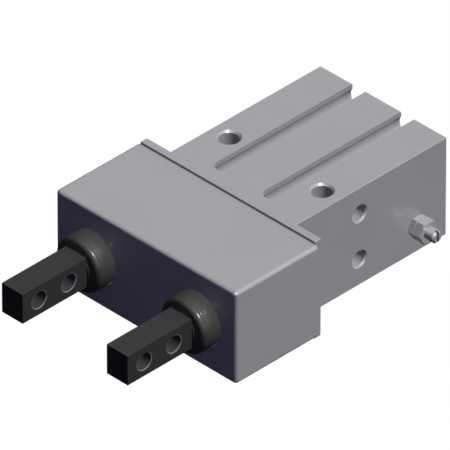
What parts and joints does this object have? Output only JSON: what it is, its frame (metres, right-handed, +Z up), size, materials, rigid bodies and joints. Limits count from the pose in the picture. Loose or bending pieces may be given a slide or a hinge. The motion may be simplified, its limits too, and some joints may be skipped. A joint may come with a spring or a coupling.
{
  "type": "pneumatic parallel gripper",
  "caption": "Pneumatic parallel gripper: flanged aluminium body, box shaped front cover, two square fingers in rubber boots, switch grooves on top and a speed control needle on one side.",
  "frame": {"origin": "on the flat underside, midway between the two vertical mounting holes", "axes": "+Z up through the mounting holes, fingers point along -Y, +X is the side with the speed control needle, jaws slide along X"},
  "size_m": [0.06, 0.1062, 0.028],
  "materials": {
    "anodised_aluminium": "clear anodised, fine satin",
    "black_steel": "black oxide, satin",
    "rubber": "moulded nitrile rubber, matt",
    "seal_rubber": "moulded, matt",
    "guide_steel": "ground and hardened",
    "screw_steel": "black oxide socket screw",
    "spring_steel": "blued spring steel",
    "nickel_steel": "nickel plated, turned",
    "bronze": "turned bronze",
    "piston_aluminium": "turned",
    "magnet": "bonded magnet ring"
  },
  "bodies": {
    "housing": {"body": "anodised_aluminium", "front_cover": "anodised_aluminium", "cover_screws": "screw_steel", "guide_block": "guide_steel", "guide_screws": "screw_steel", "boot_right": "rubber", "boot_left": "rubber", "boot_ring_right": "spring_steel", "boot_ring_left": "spring_steel", "rod_guide": "bronze", "rod_guide_o_ring": "seal_rubber", "rod_seal": "seal_rubber", "front_bumper": "seal_rubber", "end_cap": "anodised_aluminium", "end_cap_o_ring": "seal_rubber", "rear_bumper": "seal_rubber", "snap_ring": "spring_steel", "needle_bushing": "nickel_steel", "needle_lock_nut": "nickel_steel"},
    "piston": {"piston": "piston_aluminium", "piston_seal": "seal_rubber", "magnet": "magnet", "piston_screw": "screw_steel", "piston_rod": "guide_steel", "clevis_pin": "guide_steel", "cam_plate": "guide_steel"},
    "jaw_right": {"jaw_right": "black_steel", "cam_pin_right": "guide_steel"},
    "jaw_left": {"jaw_left": "black_steel", "cam_pin_left": "guide_steel"},
    "roller_right": {"cam_roller_right": "guide_steel"},
    "roller_left": {"cam_roller_left": "guide_steel"},
    "cage_right": {"ball_cage_right": "bronze", "balls_right": "guide_steel"},
    "cage_left": {"ball_cage_left": "bronze", "balls_left": "guide_steel"},
    "needle": {"needle": "nickel_steel", "needle_o_ring": "seal_rubber"}
  },
  "joints": [
    {"name": "piston_slide", "type": "slide", "parent": "housing", "child": "piston", "axis": [0, -1, 0], "range_m": [-0.004, 0.004]},
    {"name": "jaw_right_slide", "type": "slide", "parent": "housing", "child": "jaw_right", "axis": [1, 0, 0], "range_m": [-0.002, 0.002], "deforming": ["boot_right"]},
    {"name": "jaw_left_slide", "type": "slide", "parent": "housing", "child": "jaw_left", "axis": [-1, 0, 0], "range_m": [-0.002, 0.002], "deforming": ["boot_left"]},
    {"name": "cage_right_slide", "type": "slide", "parent": "housing", "child": "cage_right", "axis": [1, 0, 0], "range_m": [-0.001, 0.001]},
    {"name": "cage_left_slide", "type": "slide", "parent": "housing", "child": "cage_left", "axis": [-1, 0, 0], "range_m": [-0.001, 0.001]},
    {"name": "roller_right_spin", "type": "hinge", "parent": "jaw_right", "child": "roller_right", "pos_m": [0.0065, -0.025, 0.014], "axis": [0, 0, 1], "continuous": true},
    {"name": "roller_left_spin", "type": "hinge", "parent": "jaw_left", "child": "roller_left", "pos_m": [-0.0065, -0.025, 0.014], "axis": [0, 0, 1], "continuous": true},
    {"name": "needle_turn", "type": "hinge", "parent": "housing", "child": "needle", "pos_m": [0.021, 0.02636, 0.0075], "axis": [1, 0, 0], "continuous": true}
  ],
  "couplings": [
    {"joint": "jaw_right_slide", "follows": "piston_slide", "ratio": 0.5},
    {"joint": "jaw_left_slide", "follows": "piston_slide", "ratio": 0.5},
    {"joint": "cage_right_slide", "follows": "piston_slide", "ratio": 0.25},
    {"joint": "cage_left_slide", "follows": "piston_slide", "ratio": 0.25}
  ]
}
